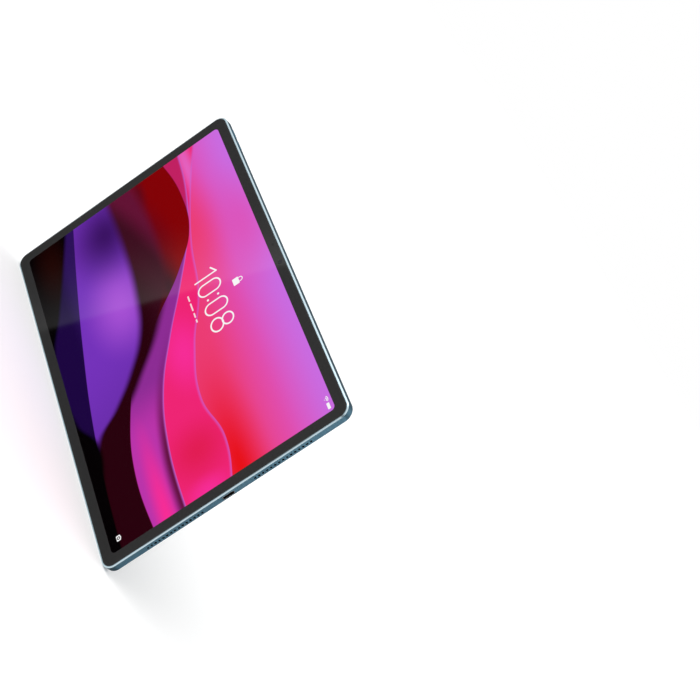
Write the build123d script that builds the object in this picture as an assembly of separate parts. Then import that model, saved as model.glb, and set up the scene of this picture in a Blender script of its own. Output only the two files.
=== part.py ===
from build123d import *

import os

# Tablet computer, standing on its lower long edge. Millimetres.
# +X runs along the long edge, to the right for someone who looks at the screen.
# +Y runs from the screen to the back. +Z is up. The origin is the middle of the foot of the bounding box.
# Places are given as x along the long edge, v up from the middle of the screen, and d deep behind the
# front face of the cover glass.

# ---- driving dimensions ----
WIDTH = 290.9
HEIGHT = 188.3
BODY_DEPTH = 6.69
DEPTH = 8.52
CORNER = 8.0
ACTIVE_WIDTH = 273.55
ACTIVE_HEIGHT = 170.97

GLASS_THICK = 0.7
GLASS_GAP = 0.1
RIM_LIP = 0.15
RIM_CHAMFER = 1.1
RIM_CHAMFER_DEEP = 0.5
RIM_SET_BACK = 0.06
BACK_CHAMFER = 1.2
CREASE_FILLET = 0.35
BACK_WALL = 0.7

SEAL_WIDTH = 2.4
SEAL_THICK = 0.15
CAVITY_X = 141.2
CAVITY_V = 89.9
CAVITY_CORNER = 4.0

# rear strip
STRIP_WIDTH = 281.6
STRIP_HEIGHT = 36.0
STRIP_V = 71.55
STRIP_CORNER = 4.5
STRIP_FACE = 8.44
STRIP_THICK = 0.97
STRIP_GAP = 0.2
STRIP_RIM = 0.5
PLINTH_FACE = 7.95
STRIP_TAPE = 0.15

# the three round apertures, from the side of the power button inwards
MACRO_X = -123.3
MAIN_X = -103.4
FLASH_X = -83.5
RING_RADIUS = 7.5
RING_WIDTH = 0.45
RING_DEEP = 0.35
WINDOW_THICK = 0.6
WINDOW_SHELF = 0.5
MAIN_WINDOW = 3.1
MACRO_WINDOW = 2.45
FLASH_WINDOW = 2.1

# sound outlets, on both short sides
HOLE_COUNT = 15
HOLE_PITCH = 3.0
HOLE_RADIUS = 0.85
OUTLET_V = 41.2
HOLE_DEEP = BODY_DEPTH / 2
OUTLET_WALL = 1.2

# side keys
POWER_V = 73.0
POWER_LONG = 13.0
POWER_TALL = 2.5
POWER_DEEP = 3.7
VOLUME_UP_X = -112.0
VOLUME_DOWN_X = -125.3
VOLUME_LONG = 10.2
VOLUME_TALL = 2.3
VOLUME_DEEP = 3.45
VOLUME_PROUD = 0.45
KEY_GAP = 0.1
KEY_WALL = 1.5

# USB-C socket
USB_WIDE = 8.94
USB_TALL = 3.16
USB_WALL = 0.3
USB_LONG = 6.9
USB_DEEP = BODY_DEPTH / 2

# layers behind the cover glass
PANEL_FRONT = 0.85
PANEL_BACK = 1.4
LIGHT_BACK = 2.25
HEAD_THICK = 0.3
PLATE_FRONT = 2.6
PLATE_BACK = 3.0
BOARD_FRONT = 3.6
BOARD_BACK = 4.4
WALL_INSIDE = BODY_DEPTH - BACK_WALL

SCREW_RADIUS = 0.68
THREAD_RADIUS = 0.7

FRONT = -DEPTH / 2
MID = HEIGHT / 2

os.makedirs("parts", exist_ok=True)


# ---- helpers ----
def slab(outline, d0, d1):
    """Extrudes an outline, drawn in x and v, from depth d0 to depth d1."""
    plane = Plane(origin=(0, FRONT + d0, MID), x_dir=(1, 0, 0), z_dir=(0, -1, 0))
    return extrude(plane * outline, amount=d1 - d0, dir=(0, 1, 0))


def box(x0, x1, v0, v1, d0, d1):
    centre = Pos((x0 + x1) / 2, FRONT + (d0 + d1) / 2, MID + (v0 + v1) / 2)
    return centre * Box(abs(x1 - x0), abs(d1 - d0), abs(v1 - v0))


def rounded(width, height, radius, x=0.0, v=0.0):
    return Pos(x, v) * RectangleRounded(width, height, radius)


def disc(radius, x, v, d0, d1):
    return slab(Pos(x, v) * Circle(radius), d0, d1)


def pill_x(length, tall, v, d, x0, x1):
    """A stadium bar along X: its long side runs up and down."""
    plane = Plane(origin=(x0, FRONT + d, MID + v), x_dir=(0, 0, 1), z_dir=(1, 0, 0))
    return extrude(plane * SlotOverall(length, tall), amount=x1 - x0, dir=(1, 0, 0))


def pill_z(length, tall, x, d, v0, v1):
    """A stadium bar along Z: its long side runs along X."""
    plane = Plane(origin=(x, FRONT + d, MID + v0), x_dir=(1, 0, 0), z_dir=(0, 0, 1))
    return extrude(plane * SlotOverall(length, tall), amount=v1 - v0, dir=(0, 0, 1))


def rod_x(radius, v, d, x0, x1):
    plane = Plane(origin=(x0, FRONT + d, MID + v), x_dir=(0, 0, 1), z_dir=(1, 0, 0))
    return extrude(plane * Circle(radius), amount=x1 - x0, dir=(1, 0, 0))


def rod_z(radius, x, d, v0, v1):
    plane = Plane(origin=(x, FRONT + d, MID + v0), x_dir=(1, 0, 0), z_dir=(0, 0, 1))
    return extrude(plane * Circle(radius), amount=v1 - v0, dir=(0, 0, 1))


def tapered(width0, height0, radius0, d0, width1, height1, radius1, d1):
    """A ruled block between two rounded rectangles at two depths."""
    ends = []
    for width, height, radius, d in ((width0, height0, radius0, d0), (width1, height1, radius1, d1)):
        plane = Plane(origin=(0, FRONT + d, MID), x_dir=(1, 0, 0), z_dir=(0, -1, 0))
        ends.append(plane * RectangleRounded(width, height, radius))
    return loft(ends, ruled=True)


def edges_at(shape, d, tolerance=0.001):
    """The edges that lie wholly at one depth."""
    y = FRONT + d
    found = []
    for edge in shape.edges():
        limits = edge.bounding_box()
        if abs(limits.min.Y - y) < tolerance and abs(limits.max.Y - y) < tolerance:
            found.append(edge)
    return found


def screw(x, v, head_front, length, head_radius):
    """A wafer-head screw, its axis along Y, with a cross recess in its head."""
    head = disc(head_radius, x, v, head_front, head_front + HEAD_THICK)
    shank = disc(SCREW_RADIUS, x, v, head_front + HEAD_THICK, head_front + HEAD_THICK + length)
    slot = head_radius * 0.55
    recess = box(x - slot, x + slot, v - 0.15, v + 0.15, head_front, head_front + 0.18)
    recess += box(x - 0.15, x + 0.15, v - slot, v + slot, head_front, head_front + 0.18)
    return head + shank - recess


def save(name, shape):
    solids = shape.solids()
    body = solids[0] if len(solids) == 1 else Compound(children=list(solids))
    body.label = name
    export_step(body, f"parts/{name}.step")
    print(name, len(solids), round(sum(solid.volume for solid in solids), 1))


def save_group(name, shapes):
    solids = []
    for shape in shapes:
        solids.extend(shape.solids())
    group = Compound(children=solids)
    group.label = name
    export_step(group, f"parts/{name}.step")
    print(name, len(solids), round(sum(solid.volume for solid in solids), 1))


# ---- places worked out from the driving dimensions ----
SIDE_X = WIDTH / 2
SIDE_V = HEIGHT / 2
RIM_WIDTH = RIM_LIP + RIM_CHAMFER
POCKET_WIDTH = WIDTH - 2 * RIM_WIDTH
POCKET_HEIGHT = HEIGHT - 2 * RIM_WIDTH
POCKET_CORNER = CORNER - RIM_WIDTH
GLASS_WIDTH = POCKET_WIDTH - 2 * GLASS_GAP
GLASS_HEIGHT = POCKET_HEIGHT - 2 * GLASS_GAP
GLASS_CORNER = POCKET_CORNER - GLASS_GAP
LEDGE = GLASS_THICK + SEAL_THICK
STRIP_BACK = STRIP_FACE - STRIP_THICK
PLINTH_FLOOR = STRIP_BACK - STRIP_TAPE
PLINTH_GROW = STRIP_GAP + STRIP_RIM
HOLE_ROW = [(i - (HOLE_COUNT - 1) / 2) * HOLE_PITCH for i in range(HOLE_COUNT)]
OUTLET_HALF = HOLE_ROW[-1] + 1.2
OUTLET_INSIDE = SIDE_X - OUTLET_WALL
POWER_SEAT = -(SIDE_X - KEY_WALL)
VOLUME_SEAT = SIDE_V - KEY_WALL
VOLUME_MID_X = (VOLUME_UP_X + VOLUME_DOWN_X) / 2
APERTURES = ((MACRO_X, MACRO_WINDOW), (MAIN_X, MAIN_WINDOW), (FLASH_X, FLASH_WINDOW))
CORNERS = [(side, level) for side in (-1, 1) for level in (-1, 1)]

FRONT_CAMERA_X = 8.1
LIGHT_SENSOR_X = -9.0
FRONT_CAMERA_V = 89.3
MIC_XS = (-36.0, 44.0)

# screw places: support plate, boards, speaker boxes
PLATE_SCREWS = [(-134.5, 85.8), (134.5, 85.8), (-134.5, -85.8), (134.5, -85.8), (-45.0, 87.2)]
PLATE_SCREWS += [(96.0, 87.2), (-48.0, -66.0), (48.0, -66.0), (-131.0, 0.0), (0.0, -84.0)]
BOARD_SCREWS = [(-70.5, 53.5), (-70.5, 76.0), (92.5, 53.5), (92.5, 80.5), (8.0, 53.5)]
USB_SCREWS = [(126.0, -10.5), (126.0, 10.5)]
BOX_INNER = 119.2
BOX_OUTER = 140.95
BOX_HALF = 21.8
EAR_X = 127.0
EAR_OUT = 24.2

# ---- rear housing: one milled shell with the plinth, pockets, bosses and outlets ----
shell = tapered(
    WIDTH - 2 * RIM_CHAMFER, HEIGHT - 2 * RIM_CHAMFER, CORNER - RIM_CHAMFER, RIM_SET_BACK,
    WIDTH, HEIGHT, CORNER, RIM_SET_BACK + RIM_CHAMFER_DEEP,
)
shell += slab(rounded(WIDTH, HEIGHT, CORNER), RIM_SET_BACK + RIM_CHAMFER_DEEP, BODY_DEPTH - BACK_CHAMFER)
shell += tapered(
    WIDTH, HEIGHT, CORNER, BODY_DEPTH - BACK_CHAMFER,
    WIDTH - 2 * BACK_CHAMFER, HEIGHT - 2 * BACK_CHAMFER, CORNER - BACK_CHAMFER, BODY_DEPTH,
)
shell = fillet(edges_at(shell, BODY_DEPTH) + edges_at(shell, BODY_DEPTH - BACK_CHAMFER), CREASE_FILLET)

plinth = slab(
    rounded(
        STRIP_WIDTH + 2 * PLINTH_GROW,
        STRIP_HEIGHT + 2 * PLINTH_GROW,
        STRIP_CORNER + PLINTH_GROW,
        v=STRIP_V,
    ),
    BODY_DEPTH - 0.2,
    PLINTH_FACE,
)
plinth = fillet(edges_at(plinth, PLINTH_FACE), 0.2)
housing = shell + plinth

# pocket for the cover glass, then the cavity behind its ledge
housing -= slab(rounded(POCKET_WIDTH, POCKET_HEIGHT, POCKET_CORNER), -1.0, LEDGE)
housing -= slab(rounded(2 * CAVITY_X, 2 * CAVITY_V, CAVITY_CORNER), LEDGE - 0.1, WALL_INSIDE)

# pocket for the rear strip, and the bores that let the cameras and the flash look out
housing -= slab(
    rounded(STRIP_WIDTH + 2 * STRIP_GAP, STRIP_HEIGHT + 2 * STRIP_GAP, STRIP_CORNER + STRIP_GAP, v=STRIP_V),
    PLINTH_FLOOR,
    DEPTH + 1,
)
for aperture_x, window in APERTURES:
    housing -= disc(window + 0.6, aperture_x, STRIP_V, WALL_INSIDE - 0.5, PLINTH_FLOOR + 0.1)

# sound outlets: a row of round holes into a slot-shaped chamber
for side, level in CORNERS:
    chamber_v = level * OUTLET_V
    housing -= box(
        side * (CAVITY_X - 0.1), side * OUTLET_INSIDE,
        chamber_v - OUTLET_HALF, chamber_v + OUTLET_HALF,
        HOLE_DEEP - 1.65, HOLE_DEEP + 1.65,
    )
    for step in HOLE_ROW:
        inner, outer = sorted((side * (OUTLET_INSIDE - 0.1), side * (SIDE_X + 1)))
        housing -= rod_x(HOLE_RADIUS, chamber_v + step, HOLE_DEEP, inner, outer)

# socket opening
housing -= pill_x(
    USB_WIDE + 2 * KEY_GAP, USB_TALL + 2 * KEY_GAP, 0, USB_DEEP, CAVITY_X - 0.1, SIDE_X + 1
)

# power key: slot through the side, pocket behind it
housing -= pill_x(POWER_LONG, POWER_TALL, POWER_V, POWER_DEEP, -SIDE_X - 1, POWER_SEAT + 0.1)
housing -= box(POWER_SEAT, -CAVITY_X + 0.1, POWER_V - 9, POWER_V + 9, POWER_DEEP - 1.9, POWER_DEEP + 1.9)

# volume keys: two slots through the top, one pocket behind them
for key_x in (VOLUME_UP_X, VOLUME_DOWN_X):
    housing -= pill_z(VOLUME_LONG, VOLUME_TALL, key_x, VOLUME_DEEP, VOLUME_SEAT - 0.1, SIDE_V + 1)
housing -= box(
    VOLUME_MID_X - 13.6, VOLUME_MID_X + 13.6,
    CAVITY_V - 0.1, VOLUME_SEAT,
    VOLUME_DEEP - 1.7, VOLUME_DEEP + 1.7,
)

# recess for the front camera and the light sensor, and the microphone ports
housing -= box(FRONT_CAMERA_X - 3.2, FRONT_CAMERA_X + 3.2, CAVITY_V - 0.1, 92.3, LEDGE - 0.1, 5.0)
housing -= box(LIGHT_SENSOR_X - 2.2, LIGHT_SENSOR_X + 2.2, CAVITY_V - 0.1, 91.3, LEDGE - 0.1, 2.4)
for mic_x in MIC_XS:
    housing -= rod_z(0.45, mic_x, HOLE_DEEP, CAVITY_V - 0.1, SIDE_V + 1)

# contact block seat and magnet pockets in the lower wall, stylus magnets in the upper wall
CONTACT_LONG = 15.0
CONTACT_TALL = 3.0
CONTACT_DEEP = HOLE_DEEP
housing -= pill_z(CONTACT_LONG, CONTACT_TALL, 0, CONTACT_DEEP, -SIDE_V - 1, -CAVITY_V + 0.1)
KEYBOARD_MAGNET_XS = (-92.0, -64.0, 64.0, 92.0)
STYLUS_MAGNET_XS = (72.0, 112.0)
MAGNET_LONG = 18.0
MAGNET_DEEP = 3.0
for magnet_x in KEYBOARD_MAGNET_XS:
    housing -= box(
        magnet_x - MAGNET_LONG / 2, magnet_x + MAGNET_LONG / 2,
        -SIDE_V + 1.0, -CAVITY_V + 0.1,
        HOLE_DEEP - MAGNET_DEEP / 2, HOLE_DEEP + MAGNET_DEEP / 2,
    )
for magnet_x in STYLUS_MAGNET_XS:
    housing -= box(
        magnet_x - MAGNET_LONG / 2, magnet_x + MAGNET_LONG / 2,
        CAVITY_V - 0.1, SIDE_V - 1.0,
        HOLE_DEEP - MAGNET_DEEP / 2, HOLE_DEEP + MAGNET_DEEP / 2,
    )

# bosses that stand on the back wall, with threaded holes
for x, v in PLATE_SCREWS:
    housing += disc(2.0, x, v, PLATE_BACK, WALL_INSIDE + 0.1)
for x, v in BOARD_SCREWS + USB_SCREWS:
    housing += disc(2.0, x, v, BOARD_BACK, WALL_INSIDE + 0.1)
for side, level in CORNERS:
    for ear in (-1, 1):
        housing += disc(1.8, side * EAR_X, level * OUTLET_V + ear * EAR_OUT, 5.2, WALL_INSIDE + 0.1)
for x, v in PLATE_SCREWS:
    housing -= disc(THREAD_RADIUS, x, v, PLATE_BACK - 0.1, 5.6)
for x, v in BOARD_SCREWS + USB_SCREWS:
    housing -= disc(THREAD_RADIUS, x, v, BOARD_BACK - 0.1, 5.9)
for side, level in CORNERS:
    for ear in (-1, 1):
        housing -= disc(THREAD_RADIUS, side * EAR_X, level * OUTLET_V + ear * EAR_OUT, 5.1, 5.95)
save("rear_housing", housing)

# ---- front: cover glass, its seal, display panel and backlight ----
glass = slab(rounded(GLASS_WIDTH, GLASS_HEIGHT, GLASS_CORNER), 0, GLASS_THICK)
glass = fillet(edges_at(glass, 0), 0.25)
save("cover_glass", glass)

seal = slab(rounded(GLASS_WIDTH - 0.4, GLASS_HEIGHT - 0.4, GLASS_CORNER - 0.2), GLASS_THICK, LEDGE)
seal -= slab(
    rounded(GLASS_WIDTH - 0.4 - 2 * SEAL_WIDTH, GLASS_HEIGHT - 0.4 - 2 * SEAL_WIDTH, 3.6),
    GLASS_THICK - 0.1,
    LEDGE + 0.1,
)
save("glass_seal", seal)

PANEL_X = ACTIVE_WIDTH / 2 + 1.4
PANEL_TOP = ACTIVE_HEIGHT / 2 + 0.9
PANEL_FOOT = -ACTIVE_HEIGHT / 2 - 3.4
save("display_panel", box(-PANEL_X, PANEL_X, PANEL_FOOT, PANEL_TOP, GLASS_THICK, PANEL_BACK))
save("backlight_unit", box(-PANEL_X, PANEL_X, PANEL_FOOT + 1.5, PANEL_TOP, PANEL_BACK, LIGHT_BACK))

# ---- support plate, screwed to the bosses ----
FLEX_X0 = 40.0
FLEX_X1 = 68.0
support = slab(rounded(281.2, 178.6, 3.6), PLATE_FRONT, PLATE_BACK)
support -= box(LIGHT_SENSOR_X - 5, FRONT_CAMERA_X + 5.9, 86.5, 90, PLATE_FRONT - 1, PLATE_BACK + 1)
support -= box(FLEX_X0 - 1, FLEX_X1 + 1, 87.2, 90, PLATE_FRONT - 1, PLATE_BACK + 1)
support -= box(137.8, 141, -6, 6, PLATE_FRONT - 1, PLATE_BACK + 1)
for x, v in PLATE_SCREWS:
    support -= disc(0.9, x, v, PLATE_FRONT - 1, PLATE_BACK + 1)
save("display_support_plate", support)
save_group("support_plate_screws", [screw(x, v, PLATE_FRONT - HEAD_THICK, 2.7, 1.7) for x, v in PLATE_SCREWS])

# ---- rear strip: glass plate, bonding film, trim rings and windows ----
strip = slab(rounded(STRIP_WIDTH, STRIP_HEIGHT, STRIP_CORNER, v=STRIP_V), STRIP_BACK, STRIP_FACE)
strip = chamfer(edges_at(strip, STRIP_FACE), 0.3)
for aperture_x, window in APERTURES:
    groove = disc(RING_RADIUS, aperture_x, STRIP_V, STRIP_FACE - RING_DEEP, DEPTH + 1)
    groove -= disc(RING_RADIUS - RING_WIDTH, aperture_x, STRIP_V, STRIP_FACE - RING_DEEP, DEPTH + 1)
    strip -= groove
    strip -= disc(window, aperture_x, STRIP_V, STRIP_FACE - WINDOW_THICK - 0.05, DEPTH + 1)
    strip -= disc(window - WINDOW_SHELF, aperture_x, STRIP_V, STRIP_BACK - 1, DEPTH + 1)
save("rear_glass_strip", strip)

tape = slab(
    rounded(STRIP_WIDTH - 1.0, STRIP_HEIGHT - 1.0, STRIP_CORNER - 0.5, v=STRIP_V), PLINTH_FLOOR, STRIP_BACK
)
for aperture_x, window in APERTURES:
    tape -= disc(window + 0.6, aperture_x, STRIP_V, PLINTH_FLOOR - 1, STRIP_BACK + 1)
save("strip_tape", tape)

rings = []
for aperture_x, window in APERTURES:
    ring = disc(RING_RADIUS, aperture_x, STRIP_V, STRIP_FACE - RING_DEEP, DEPTH)
    ring -= disc(RING_RADIUS - RING_WIDTH, aperture_x, STRIP_V, STRIP_FACE - RING_DEEP - 1, DEPTH + 1)
    rings.append(fillet(edges_at(ring, DEPTH), 0.07))
save_group("camera_trim_rings", rings)

WINDOW_NAMES = ("macro_camera_window", "main_camera_window", "flash_window")
for (aperture_x, window), name in zip(APERTURES, WINDOW_NAMES):
    pane = disc(window - 0.03, aperture_x, STRIP_V, STRIP_FACE - WINDOW_THICK - 0.05, STRIP_FACE - 0.05)
    save(name, fillet(edges_at(pane, STRIP_FACE - 0.05), 0.08))

# ---- main rear camera: sensor board, focus actuator, moving barrel with its front lens ----
BARREL_RADIUS = 3.0
BARREL_CLEAR = 0.07
BARREL_FRONT = 4.3
BARREL_BACK = 6.9
ACTUATOR_HALF = 5.0
save("main_camera_sensor", box(MAIN_X - 5.4, MAIN_X + 5.4, STRIP_V - 5.4, STRIP_V + 5.4, 3.1, BOARD_FRONT))
actuator = box(
    MAIN_X - ACTUATOR_HALF, MAIN_X + ACTUATOR_HALF,
    STRIP_V - ACTUATOR_HALF, STRIP_V + ACTUATOR_HALF,
    BOARD_FRONT, 5.9,
)
actuator -= disc(BARREL_RADIUS + BARREL_CLEAR, MAIN_X, STRIP_V, BOARD_FRONT + 0.4, 7)
save("main_camera_actuator", actuator)
barrel = disc(BARREL_RADIUS, MAIN_X, STRIP_V, BARREL_FRONT, BARREL_BACK)
barrel -= disc(2.0, MAIN_X, STRIP_V, BARREL_BACK - 0.9, BARREL_BACK + 1)
barrel -= disc(1.2, MAIN_X, STRIP_V, BARREL_FRONT - 1, BARREL_BACK)
barrel = chamfer(barrel.edges().filter_by(GeomType.CIRCLE).sort_by(Axis.Y)[-1], 0.25)
save("main_camera_barrel", barrel)


def lens(x, radius, seat, bulge):
    """A plano-convex lens with its flat at depth seat and its dome towards the back."""
    ball = (radius * radius + bulge * bulge) / (2 * bulge)
    dome = Pos(x, FRONT + seat + bulge - ball, MID + STRIP_V) * Sphere(ball)
    return dome & disc(radius, x, STRIP_V, seat, seat + bulge + 1)


save("main_camera_lens", lens(MAIN_X, 1.95, BARREL_BACK - 0.9, 0.6))

# ---- macro camera and flash ----
macro = box(MACRO_X - 3.3, MACRO_X + 3.3, STRIP_V - 3.3, STRIP_V + 3.3, 3.1, 5.9)
macro += disc(2.3, MACRO_X, STRIP_V, 5.8, 7.1)
macro -= disc(1.6, MACRO_X, STRIP_V, 6.5, 8)
save("macro_camera_module", macro)
save("macro_camera_lens", lens(MACRO_X, 1.55, 6.5, 0.45))
flash_board = box(FLASH_X - 4.5, FLASH_X + 4.5, STRIP_V - 3.4, STRIP_V + 3.4, 5.39, WALL_INSIDE)
flash_led = box(FLASH_X - 1.1, FLASH_X + 1.1, STRIP_V - 1.1, STRIP_V + 1.1, WALL_INSIDE, 6.7)
save_group("flash_module", [flash_board, flash_led])

# ---- front camera and light sensor, in the border over the screen ----
selfie = box(FRONT_CAMERA_X - 2.6, FRONT_CAMERA_X + 2.6, 86.8, 92.0, 1.9, 4.6)
selfie += disc(1.9, FRONT_CAMERA_X, FRONT_CAMERA_V, 0.9, 2.0)
selfie -= disc(1.1, FRONT_CAMERA_X, FRONT_CAMERA_V, 0.8, 1.3)
save("front_camera_module", selfie)
save("light_sensor", box(LIGHT_SENSOR_X - 1.2, LIGHT_SENSOR_X + 1.2, 88.4, 90.6, 0.95, 1.7))

# ---- batteries ----
CELL_FOOT = -50.0
CELL_TOP = 44.0
CELL_BACK = 5.8
for name, x0, x1 in (("battery_cell_left", -112.0, -1.0), ("battery_cell_right", 1.0, 112.0)):
    cell = slab(
        rounded(x1 - x0, CELL_TOP - CELL_FOOT, 1.5, (x0 + x1) / 2, (CELL_TOP + CELL_FOOT) / 2), 3.1, CELL_BACK
    )
    cell = fillet(edges_at(cell, 3.1), 0.6)
    save(name, cell)
save_group(
    "battery_tapes",
    [box(x - 48, x + 48, CELL_FOOT + 8, CELL_TOP - 8, CELL_BACK, WALL_INSIDE) for x in (-56.5, 56.5)],
)
battery_board = box(-110, 110, CELL_TOP + 0.6, CELL_TOP + 5.2, BOARD_FRONT, BOARD_BACK)
battery_board += box(-6, 6, CELL_TOP + 2, CELL_TOP + 10, BOARD_FRONT - 0.15, BOARD_FRONT)
save("battery_board", battery_board)

# ---- main board, shields and heat spreader ----
board = box(-74, 96, 50, 84, BOARD_FRONT, BOARD_BACK)
for x, v in BOARD_SCREWS:
    board -= disc(0.9, x, v, BOARD_FRONT - 1, BOARD_BACK + 1)
save("main_board", board)
SHIELD_BACK = 5.75
shields = []
for x0, x1, v0, v1 in ((-60, -4, 57, 75), (26, 84, 57, 78)):
    shield = box(x0, x1, v0, v1, BOARD_BACK, SHIELD_BACK)
    shield -= box(x0 + 0.2, x1 - 0.2, v0 + 0.2, v1 - 0.2, BOARD_BACK - 0.1, SHIELD_BACK - 0.2)
    shields.append(shield)
save_group("board_shields", shields)
processor = box(-40, -24, 59, 74, BOARD_BACK, 5.3)
memory = box(-20, -8, 60, 73, BOARD_BACK, 5.3)
power_chip = box(40, 48, 62, 70, BOARD_BACK, 5.1)
save_group("board_chips", [processor, memory, power_chip])
save("heat_spreader", box(-62, 88, 56.5, 78.2, SHIELD_BACK, SHIELD_BACK + 0.15))

# ---- screws for the boards and the speaker boxes ----
save_group(
    "board_screws",
    [screw(x, v, BOARD_FRONT - HEAD_THICK, 2.1, 1.5) for x, v in BOARD_SCREWS + USB_SCREWS],
)
EAR_FRONT = 4.4
ear_screws = []
for side, level in CORNERS:
    for ear in (-1, 1):
        ear_v = level * OUTLET_V + ear * EAR_OUT
        ear_screws.append(screw(side * EAR_X, ear_v, EAR_FRONT - HEAD_THICK, 1.45, 1.5))
save_group("speaker_screws", ear_screws)

# ---- speakers: a box, a driver and a dust mesh behind each row of holes ----
drivers = []
meshes = []
for side, level in CORNERS:
    place = ("left" if side < 0 else "right") + ("_lower" if level < 0 else "_upper")
    v = level * OUTLET_V
    mouth_v0 = v - OUTLET_HALF + 0.3
    mouth_v1 = v + OUTLET_HALF - 0.3
    case = box(side * BOX_INNER, side * BOX_OUTER, v - BOX_HALF, v + BOX_HALF, 3.1, 5.9)
    case += box(
        side * 140.75, side * (OUTLET_INSIDE - 0.25),
        mouth_v0, mouth_v1,
        HOLE_DEEP - 1.45, HOLE_DEEP + 1.45,
    )
    for ear in (-1, 1):
        ear_v = v + ear * EAR_OUT
        tab_v = (v + ear * (BOX_HALF - 0.5) + ear_v) / 2
        tab = slab(Pos(side * EAR_X, tab_v) * Rectangle(4.6, 3.0), 4.4, 5.2)
        tab += disc(2.0, side * EAR_X, ear_v, 4.4, 5.2)
        case += tab
        case -= disc(0.9, side * EAR_X, ear_v, 4, 6)
    case -= box(side * (BOX_INNER + 0.5), side * 140.2, v - BOX_HALF + 0.5, v + BOX_HALF - 0.5, 3.5, 5.5)
    case -= box(
        side * 140.1, side * SIDE_X,
        mouth_v0 + 0.5, mouth_v1 - 0.5,
        HOLE_DEEP + 0.2, HOLE_DEEP + 1.05,
    )
    save("speaker_box_" + place, case)

    driver = slab(rounded(15, 30, 4, side * 129.5, v), 3.9, 5.5)
    driver -= slab(rounded(12.4, 27.4, 3.2, side * 129.5, v), 3.8, 4.3)
    driver += slab(rounded(8.4, 20, 3, side * 129.5, v), 3.95, 4.4)
    drivers.append(driver)
    meshes.append(
        box(
            side * (OUTLET_INSIDE - 0.2), side * OUTLET_INSIDE,
            v - OUTLET_HALF + 0.1, v + OUTLET_HALF - 0.1,
            HOLE_DEEP - 1.55, HOLE_DEEP + 1.55,
        )
    )
save_group("speaker_drivers", drivers)
save_group("speaker_meshes", meshes)

# ---- USB-C socket on its own board ----
USB_FACE = SIDE_X - 0.12
usb = pill_x(USB_WIDE, USB_TALL, 0, USB_DEEP, USB_FACE - USB_LONG, USB_FACE)
usb -= pill_x(
    USB_WIDE - 2 * USB_WALL, USB_TALL - 2 * USB_WALL, 0, USB_DEEP, USB_FACE - USB_LONG + 0.8, USB_FACE + 1
)
save("usb_shell", usb)
tongue = box(USB_FACE - USB_LONG + 0.8, USB_FACE - 1.0, -3.34, 3.34, USB_DEEP - 0.35, USB_DEEP + 0.35)
save("usb_tongue", tongue)

usb_board = box(122, 141, -14, 14, BOARD_FRONT, BOARD_BACK)
usb_board -= box(USB_FACE - USB_LONG - 0.1, 142, -USB_WIDE / 2 - 0.1, USB_WIDE / 2 + 0.1, 3, 5)
for x, v in USB_SCREWS:
    usb_board -= disc(0.9, x, v, BOARD_FRONT - 1, BOARD_BACK + 1)
save("usb_board", usb_board)

# ---- flat cables ----
link = box(113.2, 118.2, 2, 62, BOARD_BACK, BOARD_BACK + 0.15)
link += box(113.2, 123.9, 2, 7, BOARD_BACK, BOARD_BACK + 0.15)
link += box(88, 118.2, 57, 62, BOARD_BACK, BOARD_BACK + 0.15)
save("board_link_flex", link)

# out of the panel, over the edge of the support plate, and down to the board
TAIL = 0.12
tail = box(FLEX_X0, FLEX_X1, PANEL_TOP, 87.8, 1.1, 1.1 + TAIL)
tail += box(FLEX_X0, FLEX_X1, 87.8 - TAIL, 87.8, 1.1, BOARD_FRONT)
tail += box(FLEX_X0, FLEX_X1, 80, 87.8, BOARD_FRONT - TAIL, BOARD_FRONT)
save("display_flex", tail)

KEY_FLEX_V = 80.0
keys = box(-138, -68, KEY_FLEX_V, KEY_FLEX_V + 2.4, BOARD_BACK, BOARD_BACK + 0.12)
keys += box(-140.6, -136, KEY_FLEX_V - 3, KEY_FLEX_V + 2.4, BOARD_BACK, BOARD_BACK + 0.12)
keys += box(VOLUME_MID_X - 2.5, VOLUME_MID_X + 2.5, KEY_FLEX_V, 89.9, BOARD_BACK, BOARD_BACK + 0.12)
save("key_flex", keys)
main_flex = box(MAIN_X + 5.4, -68, 68, 72, BOARD_FRONT - 0.12, BOARD_FRONT)
macro_flex = box(MACRO_X + 3.3, -112, 69, 73, BOARD_FRONT - 0.12, BOARD_FRONT)
macro_flex += box(-115, -112, 61, 73, BOARD_FRONT - 0.12, BOARD_FRONT)
macro_flex += box(-115, -68, 61, 64, BOARD_FRONT - 0.12, BOARD_FRONT)
save_group("camera_flexes", [main_flex, macro_flex])

# ---- power key: cap, switch plunger that it pushes, fixed switch and bracket ----
cap = pill_x(
    POWER_LONG - 2 * KEY_GAP, POWER_TALL - 2 * KEY_GAP, POWER_V, POWER_DEEP, -SIDE_X + 0.02, POWER_SEAT + 0.3
)
cap = fillet(cap.faces().sort_by(Axis.X)[0].edges(), 0.12)
cap += box(
    POWER_SEAT + 0.05, POWER_SEAT + 0.45,
    POWER_V - 7.6, POWER_V + 7.6,
    POWER_DEEP - 1.5, POWER_DEEP + 1.5,
)
save("power_key", cap)
PLUNGER = 0.6
PLUNGER_CLEAR = 0.05
SWITCH_BORE = 0.75
plunger_x = POWER_SEAT + 0.45
switch_x = plunger_x + 0.5
save("power_switch_plunger", rod_x(PLUNGER, POWER_V, POWER_DEEP, plunger_x, plunger_x + 0.9))
switch = box(switch_x, switch_x + 1.25, POWER_V - 2.3, POWER_V + 2.3, POWER_DEEP - 1.2, POWER_DEEP + 1.2)
switch -= rod_x(PLUNGER + PLUNGER_CLEAR, POWER_V, POWER_DEEP, switch_x - 1, switch_x + SWITCH_BORE)
save("power_switch", switch)
save(
    "power_key_bracket",
    box(switch_x + 1.25, switch_x + 1.65, POWER_V - 8.9, POWER_V + 8.9, POWER_DEEP - 1.8, POWER_DEEP + 1.8),
)

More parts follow.
